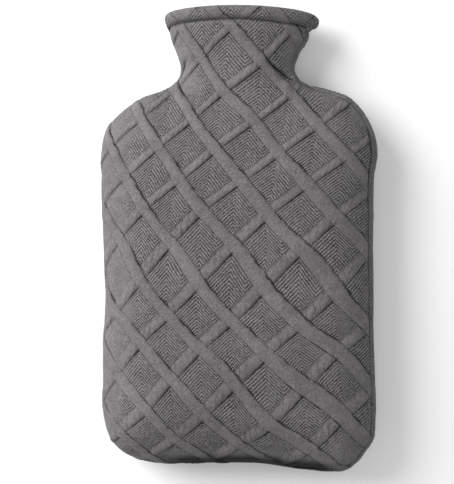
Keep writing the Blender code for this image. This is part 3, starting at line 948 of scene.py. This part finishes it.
def rib_shading(shader, knit):
    """Painted highlight on the ribs' crests and painted shade in their valleys, which the stitches
    break up.
    """
    step = CELL_SHARE / RIBS
    a, b = knit.a, knit.b
    in_cell = a.math("LESS_THAN", CELL_SHARE) * b.math("LESS_THAN", CELL_SHARE) * knit.ribbed
    rib = a.math("MINIMUM", b).math("MAXIMUM", b - TURN_RIBS * step) / step
    rib = (rib + (knit.speckle - 0.5) * 0.36).math("FRACT")
    crest = shader.between((rib * 2 - 1).math("ABSOLUTE"), 0.8, 0.2)
    along_rib = a.math("MAXIMUM", b) / step
    stitch = (along_rib * STITCHES).math("SINE") * 0.5 + 0.5
    valley_shade = (1 - crest) * (0.55 + stitch * 0.2 + knit.drift * 0.25)
    return in_cell, crest, valley_shade


def crease_shading(shader, knit):
    """Painted shade in the creases beneath the puffed bands and along both sides of the others."""
    a, b, drift, patch = knit.a, knit.b, knit.drift, knit.patch
    down = shader.between(knit.first + knit.second, 7.0, 10.0)
    down_right = down * shader.between(knit.second - knit.first, 1.6, 3.0)
    wobble = (knit.speckle - 0.5) * 0.012 + (patch - 0.5) * 0.03
    off_left = (a - CELL_SHARE + wobble).math("ABSOLUTE")
    left = (1 - shader.between(off_left, 0.004, 0.02 + drift * 0.02)) * (0.35 + drift * 0.75)
    right = (1 - shader.between(a.math("MINIMUM", 1 - a), 0.0, 0.026)) * (0.08 + patch * 0.4)
    right = right * (1 + down_right * 1.6)
    off_puff = b.math("MINIMUM", 1 - b) + (knit.speckle - 0.5) * 0.012
    below = (1 - shader.between(off_puff, 0.004, 0.03 + patch * 0.02)) * (1 - knit.on_over)
    below = below * (1.3 - a * 2.0).math("MAXIMUM", 0.08) * (0.5 + patch * 0.5)
    below = below * (0.3 + knit.ribbed * 0.7)
    return left.math("MAXIMUM", right).math("MAXIMUM", below).math("MINIMUM", 1.0)


def pinch_shading(shader, knit):
    """Painted shade in the fine upright wrinkles of the puffed bands."""
    wave = ((knit.b - knit.a) * PINCHES + knit.patch * 2.0).math("SINE")
    on_puff = knit.b.math("GREATER_THAN", CELL_SHARE) * (1 - knit.on_over)
    return shader.between(wave, 0.1, 1.0) * on_puff * knit.drift


def knit_material():
    """Dark grey cotton knit with a fine fuzz: painted shade in its creases, wrinkles and hollows
    and between its ribs, and painted highlight on the ribs' crests.
    """
    shader = Shader("grey_knit")
    knit = KnitPlan(shader)
    in_cell, crest, valley_shade = rib_shading(shader, knit)
    fibres = knit.fuzz * 0.27 + knit.speckle * 0.33 + knit.blotch * 0.17 + knit.patch * 0.13
    fibres = fibres + knit.purl * 0.1
    cloth = shader.mix(fibres, DARK_FIBRE, PALE_FIBRE)
    # Painted highlight on the ribs' crests, then painted shade in their valleys
    cloth = shader.mix(crest * in_cell * 0.5, cloth, RIB_CREST_HIGHLIGHT)
    cloth = shader.mix(valley_shade * in_cell * 0.86, cloth, RIB_VALLEY_SHADE)
    # Painted shade in the puffed bands' wrinkles
    cloth = shader.mix(pinch_shading(shader, knit) * 0.5, cloth, PINCH_SHADE)
    # Painted shade in the creases beside and beneath the bands
    cloth = shader.mix(crease_shading(shader, knit) * 0.88, cloth, CREASE_SHADE)
    # Painted shade in the hollows: the seam's groove, under the hem, the folds' creases and the
    # base's underside
    cloth = shader.mix(knit.hollow * 0.95, cloth, HOLLOW_SHADE)

    height = knit.fuzz * 0.5 + knit.speckle * 0.7 + crest * in_cell * 0.8
    height = height + knit.purl * (1 - in_cell) * 0.3
    bump = {"Strength": 0.7, "Distance": 0.4 * MM, "Height": height}
    bump = shader.node("ShaderNodeBump", {}, bump)["Normal"]
    shader.set(Base_Color=cloth, Roughness=0.92, Normal=bump, Specular_IOR_Level=0.12,
               Sheen_Weight=0.05, Sheen_Roughness=0.5)
    return shader.material


def floor_material():
    shader = Shader("pale_floor")
    place = shader.node("ShaderNodeTexCoord")["Object"]
    shader.set(Base_Color=shader.mix(shader.noise(place, 6.0, 2.0), *FLOOR_SHADES), Roughness=0.8)
    return shader.material


# The stage --------------------------------------------------------------------------------


def make_floor():
    mesh = bmesh.new()
    bmesh.ops.create_grid(mesh, x_segments=4, y_segments=4, size=FLOOR_HALF)
    data = bpy.data.meshes.new("floor")
    mesh.to_mesh(data)
    mesh.free()
    floor = bpy.data.objects.new("floor", data)
    floor.location.z = -FLOOR_DROP
    data.materials.append(floor_material())
    bpy.context.scene.collection.objects.link(floor)


def make_light(name, place, size, power):
    data = bpy.data.lights.new(name, "AREA")
    data.shape = "DISK"
    data.size = size
    data.energy = power
    light = bpy.data.objects.new(name, data)
    light.location = place
    aim = Vector(LIT_SPOT) - Vector(place)
    light.rotation_euler = aim.to_track_quat("-Z", "Y").to_euler()
    bpy.context.scene.collection.objects.link(light)


def make_camera():
    camera = bpy.data.cameras.new("camera")
    camera.sensor_fit = "AUTO"
    camera.lens = camera.sensor_width * (CAMERA_HEIGHT - SEAM_LEVEL) / FRAME_TALL
    holder = bpy.data.objects.new("camera", camera)
    holder.location = (*FRAME_CENTRE, CAMERA_HEIGHT)
    bpy.context.scene.collection.objects.link(holder)
    bpy.context.scene.camera = holder


def make_studio():
    make_floor()
    for light in LIGHTS:
        make_light(*light)
    world = bpy.data.worlds.new("studio")
    world.use_nodes = True
    sky = world.node_tree.nodes["Background"].inputs
    sky["Color"].default_value = (1.0, 1.0, 1.0, 1.0)
    sky["Strength"].default_value = SKY_STRENGTH
    bpy.context.scene.world = world
    bpy.context.scene.view_settings.view_transform = "Standard"
    make_camera()


def main():
    make_studio()
    knit = knit_material()
    for name, side, under in (("front_panel", 1, ["back_panel"]), ("back_panel", -1, [])):
        piece, area = make_panel(name + "_knit", side, knit)
        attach(piece, "root")
        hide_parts(name)


main()
